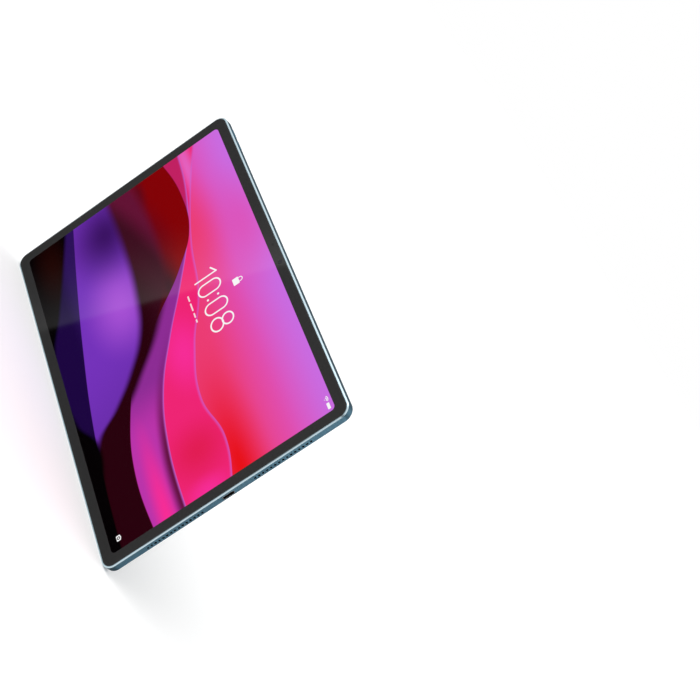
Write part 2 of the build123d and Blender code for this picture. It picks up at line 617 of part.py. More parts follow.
# ---- volume keys: the same, pushed down from the top edge ----
plunger_v = VOLUME_SEAT - 0.45
switch_v = plunger_v - 0.5
volume_switches = []
for name, key_x in (("volume_up", VOLUME_UP_X), ("volume_down", VOLUME_DOWN_X)):
    cap = pill_z(
        VOLUME_LONG - 2 * KEY_GAP, VOLUME_TALL - 2 * KEY_GAP,
        key_x, VOLUME_DEEP, VOLUME_SEAT - 0.3, SIDE_V + VOLUME_PROUD,
    )
    cap = fillet(cap.faces().sort_by(Axis.Z)[-1].edges(), 0.3)
    cap += box(
        key_x - 6.0, key_x + 6.0,
        VOLUME_SEAT - 0.45, VOLUME_SEAT - 0.05,
        VOLUME_DEEP - 1.4, VOLUME_DEEP + 1.4,
    )
    save(name + "_key", cap)
    save(name + "_switch_plunger", rod_z(PLUNGER, key_x, VOLUME_DEEP, plunger_v - 0.9, plunger_v))
    switch = box(key_x - 2.3, key_x + 2.3, switch_v - 1.0, switch_v, VOLUME_DEEP - 1.2, VOLUME_DEEP + 1.2)
    switch -= rod_z(PLUNGER + PLUNGER_CLEAR, key_x, VOLUME_DEEP, switch_v - SWITCH_BORE, switch_v + 1)
    volume_switches.append(switch)
save_group("volume_switches", volume_switches)
save(
    "volume_switch_board",
    box(
        VOLUME_MID_X - 13.4, VOLUME_MID_X + 13.4,
        switch_v - 1.4, switch_v - 1.0,
        VOLUME_DEEP - 1.6, VOLUME_DEEP + 1.6,
    ),
)

# ---- keyboard contacts in the lower edge, magnets, microphones, antennas ----
block = pill_z(CONTACT_LONG - 0.1, CONTACT_TALL - 0.1, 0, CONTACT_DEEP, -SIDE_V + 0.05, -CAVITY_V)
for step in (-1, 0, 1):
    block -= rod_z(0.85, step * 4.2, CONTACT_DEEP, -SIDE_V - 1, -CAVITY_V + 1)
save("contact_block", block)
save_group(
    "contact_pins",
    [rod_z(0.83, step * 4.2, CONTACT_DEEP, -SIDE_V + 0.15, -CAVITY_V + 0.4) for step in (-1, 0, 1)],
)
magnets = []
for magnet_x in KEYBOARD_MAGNET_XS:
    magnets.append(
        box(
            magnet_x - MAGNET_LONG / 2 + 0.1, magnet_x + MAGNET_LONG / 2 - 0.1,
            -SIDE_V + 1.0, -CAVITY_V - 0.1,
            HOLE_DEEP - MAGNET_DEEP / 2 + 0.1, HOLE_DEEP + MAGNET_DEEP / 2 - 0.1,
        )
    )
for magnet_x in STYLUS_MAGNET_XS:
    magnets.append(
        box(
            magnet_x - MAGNET_LONG / 2 + 0.1, magnet_x + MAGNET_LONG / 2 - 0.1,
            CAVITY_V + 0.1, SIDE_V - 1.0,
            HOLE_DEEP - MAGNET_DEEP / 2 + 0.1, HOLE_DEEP + MAGNET_DEEP / 2 - 0.1,
        )
    )
save_group("edge_magnets", magnets)
microphones = []
for mic_x in MIC_XS:
    microphones.append(box(mic_x - 1.9, mic_x + 1.9, CAVITY_V - 1.0, CAVITY_V, 3.1, 5.7))
save_group("microphones", microphones)
antenna = slab(rounded(34, 7, 1.0, 116, 72.0), 3.2, 5.4)
antenna2 = slab(rounded(44, 9, 1.0, -90, -78.0), 3.2, 5.4)
save_group("antenna_modules", [antenna, antenna2])
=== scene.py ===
"""The tablet's looks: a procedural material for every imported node, the small pieces that CAD leaves
out, the studio and the camera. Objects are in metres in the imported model's frame: +X to the right
seen facing the screen, +Y from screen to back, +Z up. Materials count in millimetres."""

import math

import bmesh
import bpy
from mathutils import Matrix, Vector


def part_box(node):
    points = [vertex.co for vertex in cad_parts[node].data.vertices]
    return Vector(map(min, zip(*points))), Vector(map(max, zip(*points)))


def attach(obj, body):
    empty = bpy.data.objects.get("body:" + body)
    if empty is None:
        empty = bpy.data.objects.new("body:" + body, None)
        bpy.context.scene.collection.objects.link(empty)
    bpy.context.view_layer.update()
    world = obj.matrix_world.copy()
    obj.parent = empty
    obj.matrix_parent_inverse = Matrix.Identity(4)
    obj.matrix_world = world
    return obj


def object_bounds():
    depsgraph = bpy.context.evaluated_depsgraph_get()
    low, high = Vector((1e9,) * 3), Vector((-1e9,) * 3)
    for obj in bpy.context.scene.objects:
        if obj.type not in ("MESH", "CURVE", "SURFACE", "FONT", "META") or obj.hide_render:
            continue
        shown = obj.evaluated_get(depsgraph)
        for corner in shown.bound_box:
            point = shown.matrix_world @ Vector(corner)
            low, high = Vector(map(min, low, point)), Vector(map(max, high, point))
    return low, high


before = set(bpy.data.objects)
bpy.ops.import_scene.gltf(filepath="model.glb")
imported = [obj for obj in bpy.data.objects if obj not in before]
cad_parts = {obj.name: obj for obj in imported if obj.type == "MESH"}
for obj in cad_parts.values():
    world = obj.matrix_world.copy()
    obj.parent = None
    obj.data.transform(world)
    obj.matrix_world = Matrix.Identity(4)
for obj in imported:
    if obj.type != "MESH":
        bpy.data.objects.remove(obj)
CAD_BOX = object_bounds()

# ---------------------------------------------------------------- places, from the frame

MM = 0.001
GLASS_LOW, GLASS_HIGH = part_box("cover_glass")
FRONT = GLASS_LOW.y / MM
MIDDLE = (GLASS_LOW.z + GLASS_HIGH.z) / 2 / MM


def centre_of(node):
    """The middle of a CAD node's box, in metres"""
    low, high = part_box(node)
    return (low + high) / 2


MAIN_CAMERA = centre_of("main_camera_window")
MACRO_CAMERA = centre_of("macro_camera_window")
FLASH = centre_of("flash_window")
FRONT_CAMERA = centre_of("front_camera_module")
LIGHT_SENSOR = centre_of("light_sensor")

# ---------------------------------------------------------------- the screen's picture, in millimetres

ACTIVE_WIDTH = 273.55
ACTIVE_HEIGHT = 170.97
ACTIVE_CORNER = 3.0

CLOCK_LEVEL = 37.5
CLOCK_HALF_HEIGHT = 9.35
CLOCK_STROKE = 1.1
ONE_AT = -19.2
FIRST_ZERO_AT = -9.2
SECOND_ZERO_AT = 8.5
EIGHT_AT = 23.3
ZERO_HALF_WIDTH = 5.4
# The one's flag: its lean, its middle from the stroke's top, and half its length
FLAG_LEAN = math.radians(58)
FLAG_AT = (-2.7, -2.3)
FLAG_HALF = 3.4
# The eight's loops: radius, height over the clock's middle, and widening
EIGHT_LOOPS = ((4.25, 4.55, 1.10), (4.75, -4.05, 1.14))
COLON_RISE = 4.2
LOCK_AT = (0.0, 57.6)
# Signs' parts: half width, half height and corner
LOCK_BODY = (2.9, 2.35, 0.5)
LOCK_BODY_DROP = 1.3
LOCK_LOOP = (1.6, 2.6)
LOCK_LOOP_RISE = 1.2
LOCK_STROKE = 0.32
# The date's bars: middle and half length
DATE_BARS = ((-11.2, 2.6), (-3.2, 3.6), (4.6, 2.2), (9.9, 1.5))
DATE_LEVEL = 20.9
DATE_HALF_HEIGHT = 0.55
DATE_WHITE = 0.75
SIGNAL_AT = (126.8, 80.6)
SIGNAL_ARCS = (2.7, 1.7)
SIGNAL_STROKE = 0.26
SIGNAL_DOT = 0.5
CHARGE_AT = (132.4, 82.0)
CHARGE_BODY = (2.4, 1.0, 0.4)
SHUTTER_AT = (128.6, -78.1)
SHUTTER_BODY = (2.05, 1.55, 0.5)
SHUTTER_BULGE = (0.8, 0.45, 0.2)
SHUTTER_BULGE_RISE = 1.5
SHUTTER_LENS = 0.9
SHUTTER_STROKE = 0.34
SIGN_EDGE = 0.14

# ---------------------------------------------------------------- colours


def linear(channel):
    """One sRGB channel from 0 to 255, as linear light"""
    share = channel / 255
    return share / 12.92 if share <= 0.04045 else ((share + 0.055) / 1.055) ** 2.4


def srgb(red, green, blue):
    return (linear(red), linear(green), linear(blue), 1.0)


def grey(level):
    return (level, level, level, 1.0)


# ---------------------------------------------------------------- node trees written as arithmetic


class Term:
    """A number in a node tree. Plain arithmetic on it adds Math nodes."""

    def __init__(self, net, socket):
        self.net = net
        self.socket = socket

    def __add__(self, other):
        return self.net.math("ADD", self, other)

    def __sub__(self, other):
        return self.net.math("SUBTRACT", self, other)

    def __rsub__(self, other):
        return self.net.math("SUBTRACT", other, self)

    def __mul__(self, other):
        return self.net.math("MULTIPLY", self, other)

    def __truediv__(self, other):
        return self.net.math("DIVIDE", self, other)

    def __abs__(self):
        return self.net.math("ABSOLUTE", self)


class Net:
    """A node tree under construction"""

    def __init__(self, tree):
        self.tree = tree
        self.tree.nodes.clear()

    def node(self, kind, settings=None, **inputs):
        """Adds a shader node. An input's name has underscores for spaces; _0 is the first input."""
        made = self.tree.nodes.new("ShaderNode" + kind)
        for name, value in (settings or {}).items():
            setattr(made, name, value)
        for name, value in inputs.items():
            key = int(name[1:]) if name[1:].isdigit() else name.replace("_", " ")
            self.feed(made.inputs[key], value)
        return made

    def feed(self, socket, value):
        if isinstance(value, Term):
            self.tree.links.new(value.socket, socket)
        else:
            socket.default_value = value

    def math(self, operation, first, second=0.0):
        made = self.node("Math", {"operation": operation}, _0=first, _1=second)
        return Term(self, made.outputs[0])

    def least(self, first, *others):
        for other in others:
            first = self.math("MINIMUM", first, other)
        return first

    def most(self, first, *others):
        for other in others:
            first = self.math("MAXIMUM", first, other)
        return first

    def length(self, across, up):
        pair = Term(self, self.node("CombineXYZ", X=across, Y=up).outputs[0])
        return Term(self, self.node("VectorMath", {"operation": "LENGTH"}, _0=pair).outputs["Value"])

    def smooth(self, value, low, high):
        """0 where value is at low, 1 where it is at high, with an S-curve between"""
        kind = {"interpolation_type": "SMOOTHSTEP"}
        made = self.node("MapRange", kind, Value=value, From_Min=low, From_Max=high)
        return Term(self, made.outputs["Result"])

    def mix(self, first, second, share):
        """Colour first where share is 0 and second where it is 1"""
        made = self.node("Mix", {"data_type": "RGBA"}, _0=share, _6=first, _7=second)
        return Term(self, made.outputs[2])

    def curve(self, value, points):
        """A smooth curve through (value, height) points, all from 0 to 1"""
        made = self.node("FloatCurve", Value=value)
        line = made.mapping.curves[0]
        line.points[0].location = points[0]
        line.points[1].location = points[-1]
        for point in points[1:-1]:
            line.points.new(*point)
        made.mapping.update()
        return Term(self, made.outputs[0])

    def place(self, stretch=(1.0, 1.0, 1.0)):
        """Where a point is on its piece, in millimetres, as a vector"""
        spot = Term(self, self.node("TexCoord").outputs["Object"])
        scale = tuple(part / MM for part in stretch)
        made = self.node("VectorMath", {"operation": "MULTIPLY"}, _0=spot, _1=scale)
        return Term(self, made.outputs[0])

    def split(self, vector):
        made = self.node("SeparateXYZ", Vector=vector)
        return [Term(self, made.outputs[index]) for index in range(3)]

    def wave(self, place, pitch):
        """A wave from -1 to 1 that repeats every pitch millimetres"""
        return self.math("SINE", place * (2 * math.pi / pitch))

    def noise(self, place, size, detail=2.0, rough=0.5):
        """Even noise from 0 to 1 with features about size millimetres across"""
        made = self.node("TexNoise", Vector=place, Scale=1.0 / size, Detail=detail, Roughness=rough)
        return Term(self, made.outputs[0])

    def cells(self, place, size):
        """The distance to the middle of the nearest of many scattered cells"""
        made = self.node("TexVoronoi", Vector=place, Scale=1.0 / size)
        return Term(self, made.outputs["Distance"])

    def bump(self, height, depth, under=None):
        """The shading normal of a surface whose relief is depth millimetres where height is 1"""
        made = self.node("Bump", Height=height, Distance=depth * MM, Strength=1.0)
        if under is not None:
            self.feed(made.inputs["Normal"], under)
        return Term(self, made.outputs[0])

    def surface(self, **inputs):
        """Ends the tree in a Principled shader"""
        shader = self.node("BsdfPrincipled", **inputs)
        self.tree.links.new(shader.outputs[0], self.node("OutputMaterial").inputs["Surface"])


def material(name):
    """A new material and its empty net"""
    made = bpy.data.materials.new(name)
    made.use_nodes = True
    return made, Net(made.node_tree)


# ---------------------------------------------------------------- plain finishes

# Slot: colour, metallic, roughness, size of the grain, depth of the grain, stretch of the grain
PLAIN_FINISHES = {
    "steel_screw": (srgb(150, 150, 152), 1.0, 0.32, 0.10, 0.006, (1, 8, 1)),
    "stamped_plate": (srgb(168, 170, 172), 1.0, 0.38, 0.18, 0.006, (0.04, 1, 1)),
    "shield_can": (srgb(186, 184, 178), 1.0, 0.30, 0.25, 0.008, (0.08, 1, 1)),
    "driver_metal": (srgb(92, 92, 95), 1.0, 0.42, 0.15, 0.006, (1, 1, 1)),
    "switch_metal": (srgb(176, 172, 164), 1.0, 0.30, 0.08, 0.004, (1, 1, 1)),
    "socket_steel": (srgb(158, 160, 164), 1.0, 0.26, 0.12, 0.004, (0.06, 1, 1)),
    "gold_contact": (srgb(222, 178, 92), 1.0, 0.24, 0.06, 0.003, (1, 1, 1)),
    "magnet": (srgb(150, 148, 146), 1.0, 0.22, 0.20, 0.005, (1, 1, 1)),
    "black_moulding": (srgb(26, 27, 29), 0.0, 0.52, 0.12, 0.012, (1, 1, 1)),
    "white_moulding": (srgb(214, 213, 206), 0.0, 0.46, 0.12, 0.010, (1, 1, 1)),
    "black_foam": (srgb(24, 24, 25), 0.0, 0.92, 0.22, 0.060, (1, 1, 1)),
    "chip_resin": (srgb(30, 30, 31), 0.0, 0.62, 0.09, 0.014, (1, 1, 1)),
    "graphite_sheet": (srgb(58, 59, 61), 0.6, 0.48, 0.40, 0.012, (0.25, 1, 1)),
    "flash_white": (srgb(236, 226, 168), 0.0, 0.40, 0.10, 0.008, (1, 1, 1)),
}


def plain_finish(name, colour, metallic, roughness, grain, depth, stretch):
    """A surface whose grain, cloudiness and fine handling marks come from noise at real sizes"""
    made, net = material(name)
    place = net.place()
    fine = net.noise(net.place(stretch), grain, 3.0, 0.6)
    cloud = net.noise(place, grain * 60, 2.0)
    dark = tuple(part * 0.72 for part in colour[:3]) + (1.0,)
    tone = net.mix(dark, colour, net.smooth(cloud * 0.6 + fine * 0.4, 0.25, 0.70))
    net.surface(
        Base_Color=tone,
        Metallic=metallic,
        Roughness=net.smooth(fine, -1.4, 2.2) * (roughness * 0.5) + (roughness * 0.76),
        Normal=net.bump(fine, depth),
    )
    return made


# ---------------------------------------------------------------- the housing and the keys

TEAL = srgb(94, 132, 151)
TEAL_DEEP = srgb(86, 123, 142)
TEAL_CUT = srgb(202, 222, 230)
# The bright cut: how deep behind the glass's front the lip goes, and where its dimmer inner part ends
LIP_DEPTH = 0.58
LIP_INNER = 0.20
LIP_INNER_SHINE = 0.55
PLINTH_TOP = 7.70
PLINTH_SHINE = 0.35
# The sound outlets: where their rows are, and the near-black colour painted on their walls as shade
OUTLET_ROWS = 41.2
OUTLET_ROW_HALF = 22.6
OUTLET_BACK = 5.25
SIDE_WALL = 143.2
PAINTED_HOLE_DARK = grey(0.006)
BLAST_DEPTH = 0.010
MATTE_ROUGHNESS = 0.34
KEY_ROUGHNESS = 0.28
CUT_ROUGHNESS = 0.13


def blasted(net, place):
    """The tone and relief of bead-blasted, dyed aluminium"""
    cloud = net.noise(place, 55.0, 2.0)
    speck = net.noise(place, 0.30, 2.0, 0.6)
    blast = net.noise(place, 0.11, 3.0, 0.65)
    tone = net.mix(TEAL_DEEP, TEAL, net.smooth(cloud * 0.55 + speck * 0.45, 0.30, 0.68))
    return tone, blast


def bright_cut(net, depth):
    """How far the metal is cut bright: the lip round the screen, and less so the rim round the strip"""
    lip = net.smooth(depth, LIP_DEPTH + 0.02, LIP_DEPTH - 0.02)
    outer = net.smooth(depth, LIP_INNER - 0.04, LIP_INNER + 0.06)
    lip = lip * (outer * (1.0 - LIP_INNER_SHINE) + LIP_INNER_SHINE)
    rim = net.smooth(depth, PLINTH_TOP - 0.04, PLINTH_TOP + 0.04) * PLINTH_SHINE
    return net.most(lip, rim)


def shade_inside_outlets(net, x, z, depth):
    """Where shade is painted: 1 inside the sound outlets, whose walls don't face sideways, and 0
    elsewhere on the short sides
    """
    sideways = abs(net.split(Term(net, net.node("TexCoord").outputs["Normal"]))[0])
    rows = net.smooth(abs(abs(z - MIDDLE) - OUTLET_ROWS), OUTLET_ROW_HALF, OUTLET_ROW_HALF - 0.2)
    short_side = net.smooth(abs(x), SIDE_WALL - 0.1, SIDE_WALL)
    before_back = net.smooth(depth, OUTLET_BACK + 0.05, OUTLET_BACK - 0.05)
    return rows * net.smooth(sideways, 0.7, 0.5) * short_side * before_back


def anodised_housing():
    """Matte all over, cut bright on the lip round the screen and the rim round the glass strip, and
    painted dark inside the sound outlets as shade
    """
    made, net = material("anodised_housing")
    place = net.place()
    x, y, z = net.split(place)
    depth = y - FRONT
    tone, blast = blasted(net, place)
    cut = bright_cut(net, depth)
    marks = net.noise(net.place((0.05, 1.0, 0.05)), 0.06, 2.0)
    # The outlets' walls are painted near-black and non-metal: painted shade standing in for the dark
    # inside the holes
    outlet_shade = shade_inside_outlets(net, x, z, depth) * (1.0 - cut)
    matte = blast * 0.08 + MATTE_ROUGHNESS
    net.surface(
        Base_Color=net.mix(net.mix(tone, TEAL_CUT, cut), PAINTED_HOLE_DARK, outlet_shade),
        Metallic=1.0 - outlet_shade,
        Roughness=matte * (1.0 - cut) + cut * (marks * 0.06 + CUT_ROUGHNESS),
        Normal=net.bump(blast * (1.0 - cut), BLAST_DEPTH),
    )
    return made


def anodised_key():
    """The housing's finish without its bright cuts"""
    made, net = material("anodised_key")
    place = net.place()
    tone, blast = blasted(net, place)
    net.surface(
        Base_Color=tone,
        Metallic=1.0,
        Roughness=blast * 0.08 + KEY_ROUGHNESS,
        Normal=net.bump(blast, BLAST_DEPTH),
    )
    return made


# ---------------------------------------------------------------- the lit picture under the cover glass

SKY_ORCHID = srgb(200, 108, 226)
SKY_PINK = srgb(222, 80, 182)
SKY_ROSE = srgb(235, 60, 116)
SKY_RED = srgb(232, 16, 24)
CREST_LILAC = srgb(196, 96, 206)
HOT_PINK = srgb(238, 36, 116)
NEON_PINK = srgb(246, 44, 150)
DEEP_ROSE = srgb(226, 28, 84)
MAUVE = srgb(228, 96, 190)
CARMINE = srgb(192, 32, 98)
CRIMSON = srgb(130, 1, 5)
OXBLOOD = srgb(96, 6, 22)
PLUM = srgb(98, 18, 52)
PLUM_DEEP = srgb(54, 12, 27)
WINE = srgb(40, 1, 12)
NIGHT = srgb(2, 0, 1)
RIBBON_VIOLET = srgb(140, 44, 148)
RIBBON_MAGENTA = srgb(186, 52, 170)
RIBBON_SHADE = srgb(100, 18, 66)
PETAL = srgb(116, 50, 186)
PETAL_SHADE = srgb(54, 15, 92)
PETAL_LIGHT = srgb(166, 80, 212)
INDIGO = srgb(44, 16, 88)
INDIGO_DEEP = srgb(28, 5, 64)
EMBER = srgb(30, 3, 1)
ICON_WHITE = grey(0.93)
UNLIT = grey(0.0)

# Each wave's crest from the left edge to the right: share of the width, share of the height downwards
FAR_CREST = ((0.0, 0.120), (0.16, 0.215), (0.30, 0.280), (0.46, 0.325), (0.60, 0.415), (0.75, 0.463),
             (0.89, 0.425), (1.0, 0.452))
RIBBON_CREST = ((0.0, 0.200), (0.14, 0.225), (0.27, 0.285), (0.40, 0.385), (0.53, 0.500), (0.66, 0.595),
                (0.80, 0.645), (1.0, 0.660))
DARK_CREST = ((0.0, 0.280), (0.13, 0.250), (0.25, 0.268), (0.35, 0.365), (0.45, 0.522), (0.55, 0.676),
              (0.68, 0.765), (0.82, 0.812), (1.0, 0.808))
FOLD_CREST = ((0.0, 0.450), (0.20, 0.425), (0.36, 0.448), (0.48, 0.540), (0.60, 0.690), (0.75, 0.880),
              (1.0, 0.980))
PETAL_CREST = ((0.0, 0.560), (0.18, 0.552), (0.34, 0.566), (0.46, 0.602), (0.56, 0.695), (0.63, 0.795),
               (0.70, 0.915), (1.0, 1.0))
INDIGO_CREST = ((0.0, 0.757), (0.20, 0.820), (0.40, 0.875), (0.60, 0.920), (0.80, 0.945), (1.0, 0.955))
BASE_CREST = ((0.0, 0.800), (0.12, 0.862), (0.24, 0.930), (0.36, 1.0), (0.60, 0.99), (0.70, 0.925),
              (0.82, 0.950), (1.0, 0.985))
CREST_BLUR = 0.004


def blob(net, s, t, at, reach):
    """1 at a point of the picture, falling softly to 0 at reach (across, down) from it"""
    return net.smooth(net.length((s - at[0]) / reach[0], (t - at[1]) / reach[1]), 1.0, 0.0)


def over(net, under, colour, below):
    """Paints a wave over what is behind it; below is how far down from its crest a point is"""
    return net.mix(under, colour, net.smooth(below, 0.0, CREST_BLUR))


def wallpaper(net, s, t):
    """Layered silk-like waves, from the sky at the back to the black fold in front"""
    sky = net.mix(SKY_ORCHID, SKY_PINK, net.smooth(t, -0.02, 0.21))
    sky = net.mix(sky, SKY_PINK, blob(net, s, t, (0.34, 0.06), (0.26, 0.20)) * 0.8)
    sky = net.mix(sky, SKY_ROSE, net.smooth(t, 0.12, 0.37))
    sky = net.mix(sky, SKY_ROSE, blob(net, s, t, (0.26, 0.28), (0.28, 0.20)))
    picture = net.mix(sky, SKY_RED, blob(net, s, t, (0.99, 0.41), (0.42, 0.16)))

    below = t - net.curve(s, FAR_CREST)
    fill = net.mix(HOT_PINK, NEON_PINK, blob(net, s, t, (0.60, 0.47), (0.16, 0.14)))
    fill = net.mix(fill, DEEP_ROSE, blob(net, s, t, (0.88, 0.55), (0.12, 0.20)))
    fill = net.mix(fill, NEON_PINK, blob(net, s, t, (1.0, 0.56), (0.06, 0.14)))
    fill = net.mix(fill, MAUVE, blob(net, s, t, (0.06, 0.185), (0.26, 0.055)))
    fill = net.mix(fill, CARMINE, blob(net, s, t, (0.02, 0.27), (0.24, 0.075)))
    fill = net.mix(CREST_LILAC, fill, net.smooth(below, 0.0, 0.016) * 0.75 + 0.25)
    picture = over(net, picture, fill, below)

    below = t - net.curve(s, RIBBON_CREST)
    fill = net.mix(RIBBON_VIOLET, RIBBON_MAGENTA, net.smooth(s, 0.60, 0.76))
    fill = net.mix(fill, NEON_PINK, blob(net, s, t, (1.0, 0.745), (0.34, 0.065)))
    fill = net.mix(fill, RIBBON_SHADE, net.smooth(below, 0.055, 0.014) * net.smooth(s, 0.46, 0.86))
    fill = net.mix(fill, CARMINE, net.smooth(s, 0.28, 0.12))
    fill = net.mix(CREST_LILAC, fill, net.smooth(below, 0.0, 0.013))
    picture = over(net, picture, fill, below)

    below = t - net.curve(s, DARK_CREST)
    fill = net.mix(CRIMSON, OXBLOOD, net.smooth(s * 0.4 + below, 0.14, 0.30))
    fill = net.mix(fill, PLUM_DEEP, blob(net, s, t, (0.38, 0.44), (0.14, 0.10)))
    fill = net.mix(fill, WINE, net.smooth(s, 0.42, 0.56))
    fill = net.mix(fill, OXBLOOD, blob(net, s, t, (0.03, 0.43), (0.10, 0.05)))
    fill = net.mix(fill, NIGHT, net.smooth(t, 0.945, 0.975))
    fill = net.mix(OXBLOOD, fill, net.smooth(below, 0.0, 0.008) * 0.7 + 0.3)
    picture = over(net, picture, fill, below)

    below = t - net.curve(s, FOLD_CREST)
    fill = net.mix(PLUM, PLUM_DEEP, net.smooth(below + s * 0.5, 0.07, 0.18) * 0.9)
    fill = net.mix(fill, WINE, net.smooth(s + below * 1.2, 0.36, 0.56))
    picture = net.mix(picture, fill, net.smooth(below, -0.030, 0.026) * net.smooth(s, 0.80, 0.60))

    below = t - net.curve(s, PETAL_CREST)
    fill = net.mix(PETAL, PETAL_LIGHT, blob(net, s, t, (0.34, 0.66), (0.20, 0.20)))
    fill = net.mix(fill, PETAL_SHADE, blob(net, s, t, (0.09, 0.63), (0.20, 0.26)) * 0.95)
    fill = net.mix(fill, PETAL_SHADE, net.smooth(s - t * 0.3, 0.18, 0.52) * 0.3)
    picture = net.mix(picture, fill, net.smooth(below, -0.004, 0.044))

    below = t - net.curve(s, INDIGO_CREST)
    fill = net.mix(INDIGO, INDIGO_DEEP, net.smooth(s + below * 3.0, 0.22, 0.46))
    fill = net.mix(fill, NIGHT, net.smooth(s, 0.62, 0.76))
    picture = over(net, picture, fill, below)

    below = t - net.curve(s, BASE_CREST)
    fill = net.mix(NIGHT, EMBER, blob(net, s, t, (0.08, 0.90), (0.18, 0.12)))
    return net.mix(picture, fill, net.smooth(below, -0.012, 0.014))


def bar(net, x, v, at, half_width, half_height):
    """Signed distance to an upright bar with round ends"""
    beyond = net.most(abs(v - at[1]) - (half_height - half_width), 0.0)
    return net.length(x - at[0], beyond) - half_width


def flat_bar(net, x, v, at, half_width, half_height):
    """Signed distance to a level bar with round ends"""
    return bar(net, v, x, (at[1], at[0]), half_height, half_width)


def panel(net, x, v, at, half_width, half_height, corner):
    """Signed distance to a rectangle with round corners"""
    across = abs(x - at[0]) - (half_width - corner)
    up = abs(v - at[1]) - (half_height - corner)
    outside = net.length(net.most(across, 0.0), net.most(up, 0.0))
    return outside + net.least(net.most(across, up), 0.0) - corner


def clock(net, x, v):
    """The plain numerals of a time of day, as distance to their strokes"""
    half_stroke = CLOCK_STROKE / 2
    tall = CLOCK_HALF_HEIGHT
    strokes = bar(net, x, v, (ONE_AT, CLOCK_LEVEL), half_stroke, tall)
    flag_at = (ONE_AT + FLAG_AT[0], CLOCK_LEVEL + tall + FLAG_AT[1])
    along = (x - flag_at[0]) * math.sin(FLAG_LEAN) + (v - flag_at[1]) * math.cos(FLAG_LEAN)
    aside = (v - flag_at[1]) * math.sin(FLAG_LEAN) - (x - flag_at[0]) * math.cos(FLAG_LEAN)
    strokes = net.least(strokes, bar(net, aside, along, (0.0, 0.0), half_stroke, FLAG_HALF))
    for at in (FIRST_ZERO_AT, SECOND_ZERO_AT):
        ring = bar(net, x, v, (at, CLOCK_LEVEL), ZERO_HALF_WIDTH - half_stroke, tall - half_stroke)
        strokes = net.least(strokes, abs(ring) - half_stroke)
    for radius, rise, widening in EIGHT_LOOPS:
        ring = net.length((x - EIGHT_AT) / widening, v - (CLOCK_LEVEL + rise)) - radius
        strokes = net.least(strokes, abs(ring) - half_stroke)
    dots = net.length(x, abs(v - CLOCK_LEVEL) - COLON_RISE) - CLOCK_STROKE * 0.75
    return net.least(strokes, dots)


def padlock(net, x, v):
    """A closed lock: a box under a loop"""
    body = panel(net, x, v, (LOCK_AT[0], LOCK_AT[1] - LOCK_BODY_DROP), *LOCK_BODY)
    loop = abs(bar(net, x, v, (LOCK_AT[0], LOCK_AT[1] + LOCK_LOOP_RISE), *LOCK_LOOP)) - LOCK_STROKE
    return net.least(body, loop)


def signal_fan(net, x, v):
    """Arcs over a point, as in a wireless sign"""
    across = abs(x - SIGNAL_AT[0])
    rise = v - SIGNAL_AT[1]
    out = net.length(across, rise)
    arcs = [abs(out - radius) - SIGNAL_STROKE for radius in SIGNAL_ARCS]
    return net.most(net.least(*arcs, out - SIGNAL_DOT), across - rise)


def shutter(net, x, v):
    """A camera sign: a rounded box with a ring for its lens"""
    body = panel(net, x, v, SHUTTER_AT, *SHUTTER_BODY)
    bulge = panel(net, x, v, (SHUTTER_AT[0], SHUTTER_AT[1] + SHUTTER_BULGE_RISE), *SHUTTER_BULGE)
    out = net.length(x - SHUTTER_AT[0], v - SHUTTER_AT[1])
    return net.most(net.least(body, bulge), SHUTTER_STROKE - abs(out - SHUTTER_LENS))


def icons(net, x, v):
    """How white the signs and numerals make each point"""
    marks = net.least(clock(net, x, v), padlock(net, x, v), signal_fan(net, x, v), shutter(net, x, v))
    marks = net.least(marks, panel(net, x, v, CHARGE_AT, *CHARGE_BODY))
    bars = [flat_bar(net, x, v, (at, DATE_LEVEL), half, DATE_HALF_HEIGHT) for at, half in DATE_BARS]
    dates = net.smooth(net.least(*bars), SIGN_EDGE, -SIGN_EDGE) * DATE_WHITE
    return net.most(net.smooth(marks, SIGN_EDGE, -SIGN_EDGE), dates)


BORDER_BLACK = grey(0.030)
SENSOR_BLACK = srgb(24, 22, 25)
# A painted highlight: the colour of a lighter ring on the front camera's window
EYE_GLINT_COLOUR = srgb(70, 74, 92)
LIT_BLACK = grey(0.0004)
EYE_RADIUS = 1.6
EYE_RING = 0.9
SENSOR_RADIUS = 0.9


def printed_border(net, x, z):
    """The black print, with the darker windows of the front camera and the light sensor, and a painted
    highlight ring on the front camera's window
    """
    eye = net.length(x - FRONT_CAMERA.x / MM, z - FRONT_CAMERA.z / MM)
    sensor = net.length(x - LIGHT_SENSOR.x / MM, z - LIGHT_SENSOR.z / MM)
    windows = net.most(
        net.smooth(eye, EYE_RADIUS + 0.1, EYE_RADIUS - 0.1),
        net.smooth(sensor, SENSOR_RADIUS + 0.1, SENSOR_RADIUS - 0.1) * 0.5,
    )
    border = net.mix(BORDER_BLACK, SENSOR_BLACK, windows)
    # Painted highlight: a faint lighter ring on the front camera's window, at radius EYE_RING
    return net.mix(border, EYE_GLINT_COLOUR, net.smooth(abs(eye - EYE_RING), 0.22, 0.05) * 0.5)


def cover_glass():
    """Clear, hard glass over a black printed border and the lit picture"""
    made, net = material("cover_glass")
    x, y, z = net.split(net.place())
    v = z - MIDDLE
    s = x / ACTIVE_WIDTH + 0.5
    t = 0.5 - v / ACTIVE_HEIGHT
    picture = net.mix(wallpaper(net, s, t), ICON_WHITE, icons(net, x, v))
    edge = panel(net, x, v, (0.0, 0.0), ACTIVE_WIDTH / 2, ACTIVE_HEIGHT / 2, ACTIVE_CORNER)
    lit = net.smooth(edge, 0.10, -0.10) * net.smooth(y - FRONT, 0.10, 0.04)
    smear = net.noise(net.place(), 38.0, 3.0, 0.6)
    net.surface(
        Base_Color=net.mix(printed_border(net, x, z), LIT_BLACK, lit),
        Roughness=smear * 0.02 + 0.015,
        IOR=1.5,
        Emission_Color=net.mix(UNLIT, picture, lit),
        Emission_Strength=1.0,
    )
    return made


# ---------------------------------------------------------------- the back's glass, rings and windows

GROOVE_PITCH = 0.09
FLASH_RING_PITCH = 0.26


